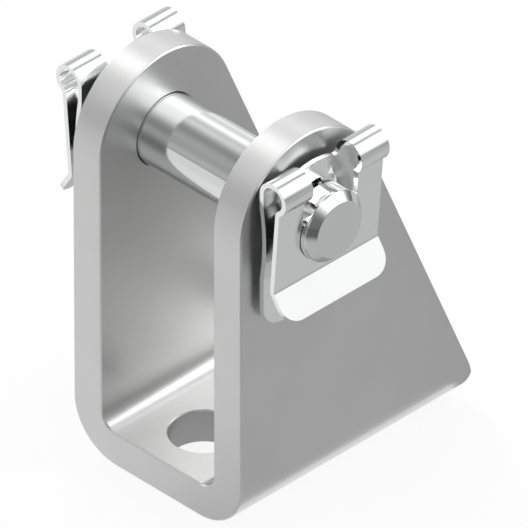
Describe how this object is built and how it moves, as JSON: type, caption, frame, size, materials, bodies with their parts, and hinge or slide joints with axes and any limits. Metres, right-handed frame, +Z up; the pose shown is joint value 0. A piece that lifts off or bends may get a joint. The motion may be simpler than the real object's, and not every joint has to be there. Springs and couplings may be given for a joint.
{
  "type": "cylinder bearing block",
  "caption": "U-shaped bent-steel clevis foot with a grooved pivot pin held by folded spring clips, for hinging the rear eye of a small round cylinder.",
  "frame": {"origin": "middle of the base's underside, which is also the middle of the two base holes", "axes": "+X along the pivot pin, +Y from the upright front edge to the sloping back, +Z up out of the mounting surface"},
  "size_m": [0.0252, 0.025, 0.034],
  "materials": {
    "zinc_plated_sheet": "satin zinc plating",
    "bright_turned_steel": "bright turned and plated",
    "bright_spring_steel": "bright rolled spring strip"
  },
  "bodies": {
    "bracket": {"bracket": "zinc_plated_sheet"},
    "pin": {"pivot_pin": "bright_turned_steel"},
    "clip_right": {"retaining_clip_right": "bright_spring_steel"},
    "clip_left": {"retaining_clip_left": "bright_spring_steel"}
  },
  "joints": [
    {"name": "pin_turn", "type": "hinge", "parent": "bracket", "child": "pin", "pos_m": [0, -0.0055, 0.027], "axis": [1, 0, 0], "continuous": true},
    {"name": "right_clip_turn", "type": "hinge", "parent": "pin", "child": "clip_right", "pos_m": [0.0098, -0.0055, 0.027], "axis": [1, 0, 0], "continuous": true},
    {"name": "left_clip_turn", "type": "hinge", "parent": "pin", "child": "clip_left", "pos_m": [-0.0098, -0.0055, 0.027], "axis": [1, 0, 0], "continuous": true}
  ]
}
